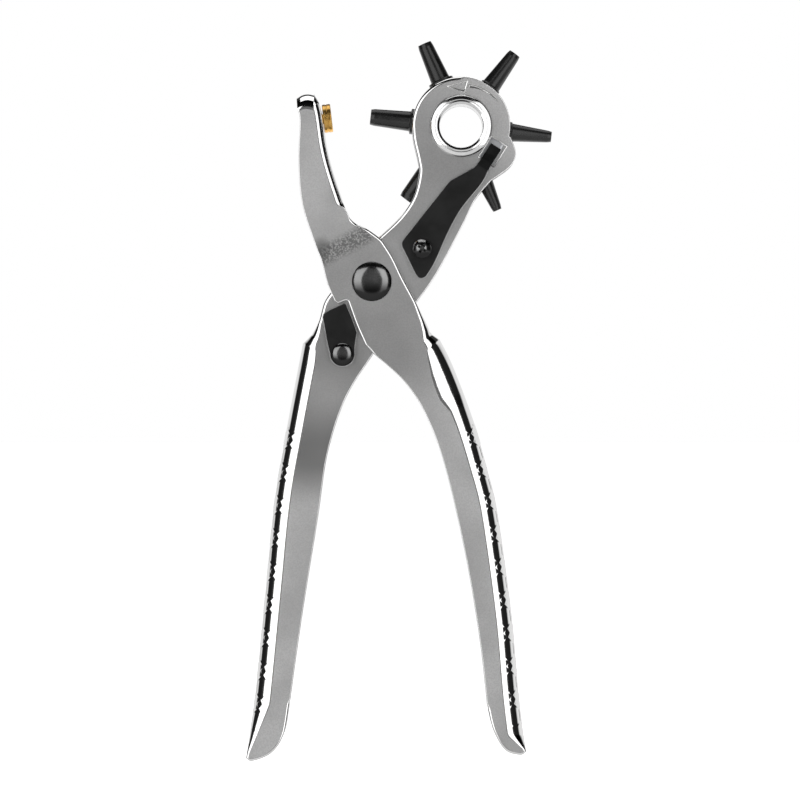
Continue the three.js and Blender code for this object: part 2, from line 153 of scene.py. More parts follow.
def spline(points, spacing):
    """Points about `spacing` apart along a uniform Catmull-Rom curve, without the first one."""
    points = [Vector(p) for p in points]
    last = len(points) - 1
    fine = []
    steps = 24
    for i in range(last):
        before, a = points[max(i - 1, 0)], points[i]
        b, after = points[i + 1], points[min(i + 2, last)]
        leave, arrive = (b - before) / 2, (after - a) / 2
        for k in range(steps):
            t = k / steps
            cubic = (2 * a - 2 * b + leave + arrive) * t ** 3
            square = (3 * b - 3 * a - 2 * leave - arrive) * t ** 2
            fine.append(cubic + square + leave * t + a)
    fine.append(points[last])
    fine = np.array(fine)
    along = np.concatenate([[0], np.cumsum(np.linalg.norm(np.diff(fine, axis=0), axis=1))])
    count = max(1, round(along[-1] / spacing))
    at = np.linspace(0, along[-1], count + 1)[1:]
    return [(np.interp(s, along, fine[:, 0]), np.interp(s, along, fine[:, 1])) for s in at]


def follow(start, *stretches, lead=()):
    """A closed outline as (points, stretch number of each point). A stretch is (spacing, points).

    lead holds points that come before the start, as stretch -1.
    """
    outline, tags = [*lead, tuple(start)], [-1] * len(lead) + [0]
    for number, (spacing, points) in enumerate(stretches):
        added = spline([outline[-1], *points], spacing)
        outline += added
        tags += [number] * len(added)
    if math.dist(outline[0], outline[-1]) < 1e-3:
        outline.pop()
        tags.pop()
    return np.array(outline, float), np.array(tags)


def axes(angle):
    """Unit directions in XZ: at an angle in degrees from +X, and square to it."""
    turn = math.radians(angle)
    return Vector((math.cos(turn), math.sin(turn))), Vector((-math.sin(turn), math.cos(turn)))


def around(centre, radius, angle):
    """The point at a distance and an angle in degrees from a centre."""
    turn = math.radians(angle)
    return centre[0] + radius * math.cos(turn), centre[1] + radius * math.sin(turn)


def arc(centre, radius, first, last, count, last_radius=None):
    """Points on a circle, or on a spiral to another radius, from one angle to another in degrees."""
    radii = np.linspace(radius, last_radius or radius, count)
    return [around(centre, r, a) for r, a in zip(radii, np.linspace(first, last, count))]


def measure(outline):
    """Length of the side after each point, and distance of each point along the outline."""
    sides = np.linalg.norm(np.roll(outline, -1, axis=0) - outline, axis=1)
    return sides, np.cumsum(sides) - sides


def inward(outline, spread):
    """Inward unit direction at each point, evened out over `spread` (one length or one per point)."""
    length, along = measure(outline)
    unit = (np.roll(outline, -1, axis=0) - outline) / length[:, None]
    normal = np.stack([-unit[:, 1], unit[:, 0]], axis=1)
    x, z = outline.T
    if np.sum(x * np.roll(z, -1) - np.roll(x, -1) * z) < 0:
        normal = -normal
    middle = along + length / 2
    apart = np.abs(along[:, None] - middle[None, :])
    apart = np.minimum(apart, length.sum() - apart)
    reach = np.maximum(np.broadcast_to(spread, along.shape), 0.02)[:, None]
    near = np.minimum(length, np.roll(length, 1))[:, None]
    weight = np.exp(-0.5 * (apart / np.maximum(reach, 0.6 * near)) ** 2)
    direction = (weight * length[None, :]) @ normal
    return direction / np.linalg.norm(direction, axis=1)[:, None]


def shrink(outline, distance):
    """The outline moved inwards."""
    return outline + inward(outline, 1.0) * distance


# ---- mesh tools


def add_object(name, data):
    """A new object in the scene."""
    added = bpy.data.objects.new(name, data)
    bpy.context.scene.collection.objects.link(added)
    return added


def new_piece(name, vertices, faces):
    """A mesh object from points in millimetres, its faces pointing out, smooth but for its sharp edges."""
    mesh = bpy.data.meshes.new(name)
    mesh.from_pydata([tuple(v) for v in np.asarray(vertices, float) * MM], [], faces)
    piece = add_object(name, mesh)
    clean(piece)
    return piece


def clean(piece):
    """Merges doubled points, turns the faces outwards and sets smooth shading with sharp edges."""
    work = bmesh.new()
    work.from_mesh(piece.data)
    bmesh.ops.remove_doubles(work, verts=work.verts, dist=2e-7)
    bmesh.ops.recalc_face_normals(work, faces=work.faces)
    work.to_mesh(piece.data)
    work.free()
    piece.data.polygons.foreach_set("use_smooth", [True] * len(piece.data.polygons))
    piece.data.set_sharp_from_angle(angle=math.radians(SMOOTH_ANGLE))


def carve(piece, tools):
    """Cuts the tools out of a piece and removes them."""
    group = bpy.data.collections.new("tools")
    for tool in tools:
        bpy.context.scene.collection.objects.unlink(tool)
        group.objects.link(tool)
    bpy.context.scene.collection.children.link(group)
    modifier = piece.modifiers.new("cut", "BOOLEAN")
    modifier.operation = "DIFFERENCE"
    modifier.solver = "EXACT"
    modifier.operand_type = "COLLECTION"
    modifier.collection = group
    graph = bpy.context.evaluated_depsgraph_get()
    whole = piece.data
    piece.data = bpy.data.meshes.new_from_object(piece.evaluated_get(graph))
    piece.modifiers.clear()
    for mesh in [whole] + [tool.data for tool in tools]:
        bpy.data.meshes.remove(mesh)
    bpy.data.collections.remove(group)
    clean(piece)


def even_shading(piece):
    """Lets large flat faces keep their own direction where they meet small rounded ones."""
    modifier = piece.modifiers.new("even", "WEIGHTED_NORMAL")
    modifier.keep_sharp = True
    modifier.weight = 80


def skin(rows, count):
    """Faces of a tube of rows with `count` points each, closed at both ends."""
    faces = []
    for row in range(rows - 1):
        low, high = row * count, (row + 1) * count
        for i in range(count):
            j = (i + 1) % count
            faces.append((low + i, low + j, high + j, high + i))
    return faces + [tuple(range(count)), tuple(range((rows - 1) * count, rows * count))]


def bent_block(name, outline, span, bends, rings=6, wall=1, relief=None, insets=None, aim=None):
    """A solid of an outline in XZ, its front and rear edges rounded by one radius or one per point.

    span is its front and rear y, or half its depth; relief(along, across) raises the surface;
    insets lets the rounding reach further in than it is deep; aim steers it wherever aim isn't nan.
    """
    outline = np.array(outline, float)
    front, rear = span if isinstance(span, tuple) else (-span, span)
    bends = np.maximum(np.broadcast_to(bends, (len(outline),)), SHARP).astype(float)
    _, along = measure(outline)
    insets = bends if insets is None else np.maximum(insets, SHARP)
    way_in = inward(outline, insets * 0.45)
    if aim is not None:
        way_in = np.where(np.isnan(aim), way_in, aim)
    quarter = np.linspace(math.pi / 2, 0, rings + 1)
    middle = (front + rear) / 2
    half_width = (rear - front) / 2
    rows = [(turn, -1, 0.0) for turn in quarter]
    rows += [(0.0, 0, -1 + 2 * k / wall) for k in range(1, wall)]
    rows += [(turn, 1, 0.0) for turn in quarter[::-1]]
    vertices = []
    for turn, side, share in rows:
        flat = half_width - bends
        inset = insets * (1 - math.cos(turn))
        across = side * (flat + bends * math.sin(turn)) if side else share * flat
        arc_across = side * (flat + bends * turn) if side else share * flat
        normal_y = side * math.sin(turn)
        lift = np.zeros(len(outline))
        if relief:
            lift = relief(along, arc_across) * float(ramp(math.sin(turn), 0.95, 0.86))
        flatwise = outline + way_in * (inset - lift * math.cos(turn))[:, None]
        depth = middle + across + lift * normal_y
        vertices.append(np.stack([flatwise[:, 0], depth, flatwise[:, 1]], axis=1))
    return new_piece(name, np.concatenate(vertices), skin(len(rows), len(outline)))


def eased(profile, radius=0.15, steps=4):
    """A closed lathe profile of (radius, along) points with its corners rounded, except on the axis."""
    out = []
    count = len(profile)
    for i, corner in enumerate(profile):
        here = Vector(corner[:2])
        wish = corner[2] if len(corner) > 2 else radius
        before, after = Vector(profile[i - 1][:2]), Vector(profile[(i + 1) % count][:2])
        back, ahead = before - here, after - here
        plain = here.x < 1e-6 or wish < 1e-4 or min(back.length, ahead.length) < 1e-6
        angle = math.pi if plain else back.angle(ahead)
        if angle > math.radians(178):
            out.append(tuple(here))
            continue
        cut = min(wish / math.tan(angle / 2), 0.45 * back.length, 0.45 * ahead.length)
        start, end = here + back.normalized() * cut, here + ahead.normalized() * cut
        for k in range(steps + 1):
            t = k / steps
            point = start * (1 - t) ** 2 + here * 2 * t * (1 - t) + end * t ** 2
            out.append(tuple(point))
    return out


def dome(radius, height, seat, power):
    """Profile points of a rivet head, flat in the middle and steeper to its rim, opening to +along."""
    shares = np.linspace(0, 1, DOME_STEPS + 1)
    return [(radius * share, seat - height * (1 - share ** power), 0) for share in shares]


def lathe(name, profile, segments, place=(0, 0), angle=None):
    """A turned solid on the Y axis through a place in XZ, or along a ray from there at an angle."""
    turns = np.linspace(0, 2 * math.pi, segments, endpoint=False)
    vertices = []
    rings = []
    for radius, along in profile:
        if radius < 1e-6:
            rings.append([len(vertices)] * segments)
            vertices.append((0, along, 0))
            continue
        rings.append(list(range(len(vertices), len(vertices) + segments)))
        vertices += [(radius * math.cos(t), along, radius * math.sin(t)) for t in turns]
    faces = []
    for i, ring in enumerate(rings):
        above = rings[(i + 1) % len(rings)]
        for k in range(segments):
            n = (k + 1) % segments
            face = list(dict.fromkeys((ring[k], ring[n], above[n], above[k])))
            if len(face) > 2:
                faces.append(face)
    points = np.array(vertices)
    if angle is not None:
        lean = math.radians(angle)
        out, side = points[:, 1].copy(), points[:, 0].copy()
        points = np.stack([
            out * math.cos(lean) - side * math.sin(lean),
            points[:, 2],
            out * math.sin(lean) + side * math.cos(lean),
        ], axis=1)
    points += np.array([place[0], 0, place[1]])
    return new_piece(name, points, faces)


def ring(bore, radius, front, rear):
    """Closed lathe profile of a plain ring, or of a disc when its bore is 0."""
    return [(bore, front), (radius, front), (radius, rear), (bore, rear)]


def drill(radius, place, rear=THROUGH, segments=64):
    """A round cutter along Y, from in front of the tool."""
    return lathe("drill", ring(0, radius, -THROUGH, rear), segments, place)


def ramp(value, first, last):
    """Smooth 0 to 1 as value goes from first to last."""
    t = np.clip((np.asarray(value, float) - first) / (last - first), 0, 1)
    return t * t * (3 - 2 * t)


# ---- node materials


class Nodes:
    """Builds a procedural material, or the studio's surround, node by node."""

    def __init__(self, name, kind=bpy.data.materials):
        self.owner = kind.new(name)
        self.owner.use_nodes = True
        self.tree = self.owner.node_tree
        self.place = self.tree.nodes.new("ShaderNodeTexCoord")

    def put(self, socket, value):
        """Links a node output to a socket, or sets a plain value on it."""
        if isinstance(value, bpy.types.NodeSocket):
            self.tree.links.new(value, socket)
        else:
            socket.default_value = value

    def node(self, kind, output, inputs, **settings):
        """A new node with its settings and inputs; returns one of its outputs."""
        node = self.tree.nodes.new("ShaderNode" + kind)
        for key, value in settings.items():
            setattr(node, key, value)
        for key, value in inputs.items():
            self.put(node.inputs[key], value)
        return node.outputs[output]

    def math(self, operation, *inputs, kind="Math", output="Value"):
        """One arithmetic or vector operation."""
        return self.node(kind, output, dict(enumerate(inputs)), operation=operation)

    def fold(self, operation, *values):
        """Folds values together with one arithmetic operation."""
        total = values[0]
        for value in values[1:]:
            total = self.math(operation, total, value)
        return total

    def noise(self, scale, detail=2.0, roughness=0.5, distortion=0.0):
        """Noise in object space; scale is in cycles per metre."""
        return self.node("TexNoise", "Fac", {
            "Vector": self.place.outputs["Object"], "Scale": scale, "Detail": detail, "Roughness": roughness,
            "Distortion": distortion,
        })

    def spread(self, value, low=0.3, high=0.7, out_low=0.0, out_high=1.0, interpolation="SMOOTHSTEP"):
        """Maps a range of one value onto another, clamped."""
        return self.node("MapRange", "Result", {
            "Value": value, "From Min": low, "From Max": high, "To Min": out_low, "To Max": out_high,
        }, interpolation_type=interpolation)

    def blend(self, share, first, second, kind="RGBA"):
        """Mixes two colours or values."""
        return self.node("Mix", "Result", {"Factor": share, "A": first, "B": second}, data_type=kind)

    def facing(self, low, high):
        """0 on surfaces that turn away from the front and rear, 1 on the flat cheeks."""
        depthwise = self.along((0, 1, 0), "Normal")
        return self.spread(self.math("ABSOLUTE", depthwise), low, high)

    def along(self, direction, coordinate="Object"):
        """Metres along a direction from the pivot, or how far another coordinate points that way."""
        return self.math("DOT_PRODUCT", self.place.outputs[coordinate], direction, kind="VectorMath")

    def near(self, spot, inner, outer):
        """1 within a distance of a spot, fading to 0 at a larger one; in millimetres."""
        place = self.place.outputs["Object"]
        flat = self.math("MULTIPLY", place, (1, 0, 1), kind="VectorMath", output="Vector")
        away = self.math("DISTANCE", flat, (spot[0] * MM, 0, spot[1] * MM), kind="VectorMath")
        return self.spread(away, inner * MM, outer * MM, 1.0, 0.0)

    def bump(self, height, distance, strength=1.0, under=None):
        """A bump of `distance` millimetres for height 0 to 1, on top of another one."""
        inputs = {"Height": height, "Strength": strength, "Distance": distance * MM}
        if under is not None:
            inputs["Normal"] = under
        return self.node("Bump", "Normal", inputs)

    def metal(self, cloud, colour, rough, tooth):
        """A bare or plated metal whose gloss follows a cloud; tooth is (noise, depth, strength)."""
        rough = self.spread(cloud, 0.3, 0.7, *rough)
        return self.finish(base_color=colour, metallic=1.0, roughness=rough, normal=self.bump(*tooth))

    def finish(self, **inputs):
        """Sets the shader's inputs and returns the material."""
        shader = self.tree.nodes["Principled BSDF"]
        for key, value in inputs.items():
            self.put(shader.inputs[key.replace("_", " ").title().replace("Ior", "IOR")], value)
        return self.owner


def grey(value, warmth=0.0):
    """A nearly neutral colour."""
    return (value * (1 + warmth), value, value * (1 - warmth), 1.0)


def nickel(value):
    """A grey with the faint warmth of nickel plate."""
    return grey(value, 0.004)


def plated_steel():
    """Nickel plate: satin and faintly mottled on the flat cheeks, polished round the bends, darker near the
    pivot and the neck; painted shade darkens the upper left handle and a spot at the left end of the crease.
    """
    n = Nodes("plated_steel")
    cheek = n.facing(0.9975, 0.9998)
    height = n.along((0, 0, 1))
    sideways = n.along((1, 0, 0))
    across = n.along((-0.46, 0, 0.888))
    jaw_side = n.spread(sideways, -0.001, 0.003, 1.0, 0.0)
    crease = n.fold(
        "MULTIPLY", n.spread(across, 0.0095, 0.0125), n.spread(across, 0.0150, 0.0180, 1.0, 0.0), jaw_side,
    )
    # painted shade: a darker band on the cheeks of the upper left handle
    painted_shade_left_handle = n.fold(
        "MULTIPLY", n.spread(height, -0.070, -0.056), n.spread(height, -0.050, -0.034, 1.0, 0.55),
        n.spread(height, -0.018, -0.004, 1.0, 0.0), n.spread(sideways, -0.006, 0.0, 1.0, 0.0),
    )
    # darker cheek tone near the pivot and the neck
    neck = n.math("MULTIPLY", n.near((12, 34), 14, 42), n.spread(sideways, -0.004, 0.004))
    darker_near_pivot_and_neck = n.math("MAXIMUM", n.near((4, -10), 16, 32), neck)
    cloud = n.noise(45, 3, 0.55)
    grain = n.noise(2600, 2, 0.6)
    stipple = n.noise(2100, 1, 0.5)
    colour = n.blend(n.spread(cloud), nickel(0.88), nickel(0.93))
    colour = n.blend(n.spread(grain, 0.35, 0.65), colour, nickel(0.80))
    colour = n.blend(darker_near_pivot_and_neck, colour, n.blend(n.spread(grain, 0.35, 0.65), nickel(0.64), nickel(0.57)))
    # painted shade darkens the upper left handle
    colour = n.blend(painted_shade_left_handle, colour, nickel(0.38))
    colour = n.blend(n.math("MULTIPLY", crease, n.spread(stipple, 0.34, 0.58)), colour, nickel(0.34))
    # painted shade: a dark spot at the left end of the crease, where the joggle would shade
    colour = n.blend(n.math("MULTIPLY", n.near((-15.5, 10.4), 0.5, 4.5), 0.6), colour, grey(0.15))
    colour = n.blend(cheek, nickel(0.88), colour)
    satin = n.math("ADD", n.spread(cloud, 0.3, 0.7, 0.30, 0.34), n.spread(grain, 0.3, 0.7, -0.01, 0.01))
    rough = n.blend(cheek, n.spread(n.noise(300, 2), 0.3, 0.7, 0.06, 0.10), satin, "FLOAT")
    fine = n.bump(n.math("MULTIPLY", grain, cheek), 0.0015, 0.5)
    pitted = n.bump(n.math("MULTIPLY", stipple, crease), 0.03, 0.8, fine)
    step = n.bump(n.math("MULTIPLY", n.spread(across, 0.010, 0.016), jaw_side), 0.16, 1.0, pitted)
    wave = n.bump(n.noise(26, 2, 0.5), 0.12, 0.5, step)
    return n.finish(base_color=colour, metallic=1.0, roughness=rough, normal=wave)


def blackened(n, low, high, bump):
    """Colour, roughness and normal of a blackened surface with a fine tooth."""
    cloud = n.noise(160, 4, 0.6)
    tooth = n.noise(2400, 3, 0.7)
    colour = n.blend(n.spread(cloud), grey(0.006), grey(0.010))
    rough = n.math("ADD", n.spread(cloud, 0.3, 0.7, low, high), n.spread(tooth, 0.3, 0.7, -0.04, 0.04))
    return colour, rough, n.bump(tooth, bump, 0.5)


def black_steel():
    """Blackened tool steel of the cutting tubes, semi-gloss."""
    n = Nodes("black_steel")
    colour, rough, normal = blackened(n, 0.20, 0.28, 0.005)
    return n.finish(base_color=colour, roughness=rough, normal=normal)


def black_sheet():
    """Blackened spring sheet, worn through to the steel along its edges but not on the tongue."""
    n = Nodes("black_sheet")
    colour, rough, normal = blackened(n, 0.34, 0.42, 0.006)
    tongue = n.spread(n.along((0.5402, 0.0, 0.8415)), 0.0475, 0.0485)
    flat = n.math("MAXIMUM", n.facing(0.90, 0.985), tongue)
    return n.finish(
        base_color=n.blend(flat, grey(0.45), colour), metallic=n.spread(flat, 0.0, 1.0, 0.9, 0.0),
        roughness=rough, specular_ior_level=n.spread(tongue, 0.0, 1.0, 0.22, 0.05), normal=normal,
    )


def dark_polish(name, low, high, middle, half):
    """Polished dark oxide of a rivet or screw head; painted shade makes it black below its middle and lighter
    above.
    """
    n = Nodes(name)
    cloud = n.noise(200, 4, 0.6)
    # painted shade: the colour turns black below the middle of the head
    above_painted_shade = n.spread(n.along((0, 0, 1)), (middle - 0.5 * half) * MM, (middle + 0.15 * half) * MM)
    colour = n.blend(above_painted_shade, grey(0.04), n.blend(n.spread(cloud), grey(low), grey(high)))
    return n.metal(cloud, colour, (0.15, 0.20), (n.noise(2400, 3, 0.7), 0.002, 0.3))


def bright_steel():
    """Chrome-bright eyelet."""
    n = Nodes("bright_steel")
    cloud = n.noise(220, 3, 0.6)
    colour = n.blend(n.spread(cloud), grey(0.80), grey(0.90))
    return n.metal(cloud, colour, (0.09, 0.15), (n.noise(500, 2), 0.003, 0.5))


def zinc_steel():
    """Zinc-plated turned parts."""
    n = Nodes("zinc_steel")
    cloud = n.noise(150, 4, 0.6)
    colour = n.blend(n.spread(cloud), (0.50, 0.51, 0.52, 1), (0.62, 0.63, 0.65, 1))
    return n.metal(cloud, colour, (0.28, 0.42), (n.noise(2400, 3), 0.006, 0.5))


def spring_wire():
    """Drawn spring wire, dark."""
    n = Nodes("spring_wire")
    cloud = n.noise(400, 4, 0.6)
    colour = n.blend(n.spread(cloud), grey(0.22, 0.01), grey(0.34, 0.01))
    return n.metal(cloud, colour, (0.24, 0.36), (n.noise(2600, 3), 0.006, 0.5))


def brass():
    """Turned brass with a little tarnish."""
    n = Nodes("brass")
    cloud = n.noise(260, 4, 0.65, distortion=0.6)
    colour = n.blend(n.spread(cloud, 0.35, 0.65), (0.60, 0.32, 0.07, 1), (0.80, 0.49, 0.14, 1))
    return n.metal(cloud, colour, (0.20, 0.34), (n.noise(1800, 3), 0.008, 0.5))


SLOTS = (plated_steel, black_steel, bright_steel, zinc_steel, spring_wire, brass)
MATERIALS = {slot.__name__: slot() for slot in SLOTS}
BLACK_SHEET = black_sheet()
# heads with painted shade on their lower halves
PIVOT_BLACK = dark_polish("pivot_black", 0.23, 0.29, 0.0, PIVOT_HEAD)
LATCH_BLACK = dark_polish("latch_black", 0.21, 0.27, LATCH_PIVOT[1], LATCH_HEAD)
SCREW_BLACK = dark_polish("screw_black", 0.24, 0.32, SCREW_PLACE[1], SCREW_HEAD)


def hand_over(piece, node, slot, material=None):
    """Gives a piece its material, makes it stand for a node and rides it on the node's body."""
    piece.data.materials.clear()
    piece.data.materials.append(material or MATERIALS[slot])
    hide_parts(node)
    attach(piece, frame["nodes"][node]["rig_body"])


# ---- grip pattern of the handle backs

GRIP_PITCH = 10.3
GRIP_DIAMOND = [(0, 0), (1.4, 1.05), (2.8, 0)]
GRIP_LONG_CELL = [(4.6, 0.5), (8.5, 0.5), (GRIP_PITCH, 0)]  # across in shares of a column
GRIP_LENGTH = 92.0
GRIP_LEAD = 2.6
RIDGE_HALF = 0.26
RIDGE_HEIGHT = 0.09


def grip_relief(start, column, offset):
    """Raised net of small diamonds and long cells, in columns, from a distance along an outline on."""
    lines = GRIP_DIAMOND + [(u, v * column) for u, v in GRIP_LONG_CELL]

    def lift(along, across):
        shifted = np.broadcast_to(across, along.shape) - offset * column
        beside = np.abs((shifted + column / 2) % column - column / 2)
        forward = (along - start) % GRIP_PITCH
        nearest = np.full(along.shape, 1e9)
        for shift in (-GRIP_PITCH, 0, GRIP_PITCH):
            for (u0, v0), (u1, v1) in zip(lines, lines[1:]):
                du, dv = u1 - u0, v1 - v0
                pu, pv = forward - (u0 + shift), beside - v0
                t = np.clip((pu * du + pv * dv) / (du * du + dv * dv), 0, 1)
                nearest = np.minimum(nearest, np.hypot(pu - t * du, pv - t * dv))
        inside = (along >= start - GRIP_LEAD) & (along <= start + GRIP_LENGTH)
        return np.where(inside, RIDGE_HEIGHT * ramp(nearest, RIDGE_HALF, 0), 0.0)

    return lift


# ---- anvil arm

JAW_TIP = (-23.3, 56.8)
JAW_SIDE = (-23.0, 53.4)
ANVIL_JAW_END = [(-21.6, 57.8), (-19.7, 58.1), (-17.7, 57.7)]
ANVIL_JAW_CORNER = (-16.3, 55.4)
ANVIL_JAW_WEB = [(-15.3, 51.0), (-14.0, 42.0), (-12.0, 34.0), (-8.3, 22.8)]
ANVIL_HANDLE_TOP = (21.0, -17.9)
ANVIL_HANDLE_BACK = [
    (25.1, -26.2), (31.3, -42.6), (35.6, -57.5), (39.0, -72.0), (43.3, -103.3), (45.6, -128.8),
    (47.7, -145.2),
]
SHOULDER_REACH = [  # height of a point on the shoulder or back, and how far in its bend starts
    (-6.0, PLAIN_EDGE), (-12.0, 1.6), (-15.0, 2.6), (-18.4, 5.6), (-22.4, 6.9), (-26.3, 7.9), (-30.3, 8.3),
    (-33.9, 8.2), (-36.2, 7.1), (-38.2, 6.2), (-42.6, 5.9), (-60.0, HANDLE_BEND_REACH),
    (-139.5, HANDLE_BEND_REACH), (-144.5, 0.8),
]


def smooth_along(outline, values, reach):
    """Evens out one value per point over a distance along the outline."""
    sides, along = measure(outline)
    apart = np.abs(along[:, None] - along[None, :])
    apart = np.minimum(apart, sides.sum() - apart)
    weight = np.exp(-0.5 * (apart / reach) ** 2) * ((sides + np.roll(sides, 1)) / 2)[None, :]
    return (weight @ values) / weight.sum(axis=1)


def bend_depth(insets):
    """Depth of a bend or rolled edge from how far in it starts."""
    widths = np.array([0, WHEEL_ARM_EDGE, ROUND_BEND, HANDLE_BEND])
    return np.interp(insets, widths, widths * [1, EDGE_DEPTH, 1, 1])


def rounding(end_points, side):
    """Cutter that rounds the end of the jaw over its whole width, on the front (-1) or rear (1)."""
    x, z = np.array([p for p in end_points if p[1] > JAW_TIP[1] - 0.01]).T
    order = np.argsort(x)
    places = np.linspace(JAW_TIP[0] - 1.5, ANVIL_JAW_END[-1][0], 25)
    tops = np.interp(places, x[order], z[order])
    flat = ANVIL_ARM_OUTSIDE - JAW_END_BEND
    vertices = []
    for place, top in zip(places, tops):
        for turn in np.linspace(0, math.pi / 2, 25):
            lean = 0.5 * (1 - math.cos(turn)) * (place - places[0]) / (places[-1] - places[0])
            down = top - JAW_END_BEND * (1 - math.cos(turn))
            vertices.append((place - lean, side * (flat + JAW_END_BEND * math.sin(turn)), down))
        vertices.append((place - 0.5, side * (ANVIL_ARM_OUTSIDE + 2), top - JAW_END_BEND))
        vertices.append((place, side * (ANVIL_ARM_OUTSIDE + 2), top + 2))
        vertices.append((place, side * flat, top + 2))
    return new_piece("rounding", vertices, skin(len(places), len(vertices) // len(places)))


def anvil_arm():
    """Stamped arm with the jaw and the right handle."""
    outline, part = follow(
        JAW_TIP,
        (CLOSE, ANVIL_JAW_END),
        (CLOSE, [ANVIL_JAW_CORNER]),
        (MEDIUM, ANVIL_JAW_WEB),
        (MEDIUM, [(-6.8, 19.5)]),
        (MEDIUM, [(-4.9, 17.8), (-1.7, 16.3), (0.7, 14.7), (2.4, 13.4), (3.5, 12.3)]),
        (MEDIUM, [(6.6, 7.4), (9.8, 0.8), (13.7, -6.5), (16.0, -11.3), (18.6, -16.3)]),
        (MEDIUM, [ANVIL_HANDLE_TOP]),
        (FINE, ANVIL_HANDLE_BACK),
        (CLOSE, [(45.9, -146.3), (41.2, -144.8), (37.6, -139.0), (35.7, -131.4)]),
        (COARSE, [(33.5, -111.8), (29.2, -85.9), (23.1, -59.1), (17.2, -42.2), (10.2, -31.1), (0.6, -22.3)]),
        (MEDIUM, [(-2.0, -19.5)]),
        (MEDIUM, [(-4.7, -13.4), (-7.0, -7.1)]),
        (TIGHT, [(-7.5, -6.0), (-8.5, -6.0)]),
        (MEDIUM, [(-10.4, -6.8)]),
        (TIGHT, [(-11.4, -6.0)]),
        (MEDIUM, [
            (-13.6, -1.0), (-15.5, 6.1), (-17.7, 12.0), (-21.5, 24.0), (-22.6, 37.0), (-22.2, 49.6), JAW_SIDE,
        ]),
        (MEDIUM, [JAW_TIP]),
    )
    z = outline[:, 1]
    end, corner, web, neck, right, shoulder, back, inner = (part == k for k in (0, 1, 2, 3, 5, 6, 7, 9))
    insets = np.full(len(outline), PLAIN_EDGE)
    insets[end | neck | inner | (part >= 14)] = FREE_EDGE
    insets[(part >= 10) & (part <= 13)] = NOTCH_EDGE
    insets[web] = FREE_EDGE + (JAW_BEND - FREE_EDGE) * ramp(z[web], 22.8, 24.2)
    growing = right | shoulder | back
    heights, reaches = np.array(SHOULDER_REACH).T
    insets[growing] = np.interp(-z[growing], -heights, reaches)
    insets = smooth_along(outline, insets, 0.5)
    insets[end] = FREE_EDGE
    insets[corner] = JAW_BEND
    aim = np.full(outline.shape, np.nan)
    aim[end] = (0, -1)
    aim[corner] = (-0.7, -0.714)
    start = measure(outline)[1][np.argmax(back)] + 30.5
    grip = grip_relief(start, 4.77, 0.5)
    arm = bent_block(
        "anvil_arm_sheet", outline, ANVIL_ARM_OUTSIDE, bend_depth(insets), BEND_RINGS, WALL_RINGS,
        relief=grip, insets=insets, aim=aim,
    )

    # The hollows are cut with outlines that run well past the sheet on the open side.
    jaw, _ = follow(
        (-45, 48), (STRAIGHT, [JAW_TIP]), (MEDIUM, ANVIL_JAW_END), (MEDIUM, [ANVIL_JAW_CORNER]),
        (MEDIUM, ANVIL_JAW_WEB), (STRAIGHT, [(0, 3)]), (STRAIGHT, [(-45, 3)]),
    )
    handle, _ = follow(
        (13, -2), (STRAIGHT, [ANVIL_HANDLE_TOP]), (COARSE, ANVIL_HANDLE_BACK),
        (STRAIGHT, [(50.5, -166)]), (STRAIGHT, [(-22, -166)]), (STRAIGHT, [(-22, -2)]),
    )
    middle = [(-45, 22.8), (30, 22.8), (30, -24.65), (13.8, -12.5), (-45, -12.5)]
    carve(arm, [
        *(rounding(outline[end | (part == 15)], side) for side in (-1, 1)),
        bent_block("jaw_hollow", shrink(jaw, SHEET), ANVIL_ARM_INSIDE, JAW_BEND - SHEET, 5),
        bent_block("handle_hollow", shrink(handle, SHEET), ANVIL_ARM_INSIDE, HANDLE_BEND - SHEET, 10),
        bent_block("middle_hollow", middle, ANVIL_ARM_INSIDE - SHARP, SHARP, 1),
        drill(PIVOT_SHANK + GAP, (0, 0)),
        lathe("stud_hole", ring(0, ANVIL_STUD + GAP, -8, 4), 32, ANVIL_FACE, ANVIL_TILT),
    ])
    even_shading(arm)
    hand_over(arm, "anvil_arm", "plated_steel")


# ---- wheel arm

ARROW_HEAD = [(23.0, 60.4), (28.8, 58.4), (29.85, 62.15)]
ARROW_ANGLES = (80.0, 31.8)  # where the shaft starts at its head and where it ends
ARROW_RADII = (11.95, 13.15)  # inner and outer edge of the shaft at its head
ARROW_END_RADIUS = 13.65
ARROW_POINTS = 13
ARROW_DEPTH = 0.35
WHEEL_HANDLE_TOP = (-21.4, -19.1)
WHEEL_SHOULDER_REACH = [
    (-4.0, WHEEL_ARM_EDGE), (-12.9, WHEEL_ARM_EDGE), (-16.8, 2.9), (-19.1, 4.9), (-25.0, HANDLE_BEND_REACH),
    (-130.0, HANDLE_BEND_REACH), (-146.0, 0.8),
]
WHEEL_HANDLE_BACK = [(-26.3, -44.7), (-30.2, -67.3), (-33.2, -97.0), (-36.3, -128.1), (-38.9, -147.4)]


def bar(name, profile, root, angle, width):
    """A straight bar in XZ from a root along an angle; its side profile is given as (along, y)."""
    forward, side = axes(angle)
    vertices = []
    for half in (-width / 2, width / 2):
        for along, y in profile:
            x, z = Vector(root) + forward * along + side * half
            vertices.append((x, y, z))
    return new_piece(name, vertices, skin(2, len(profile)))


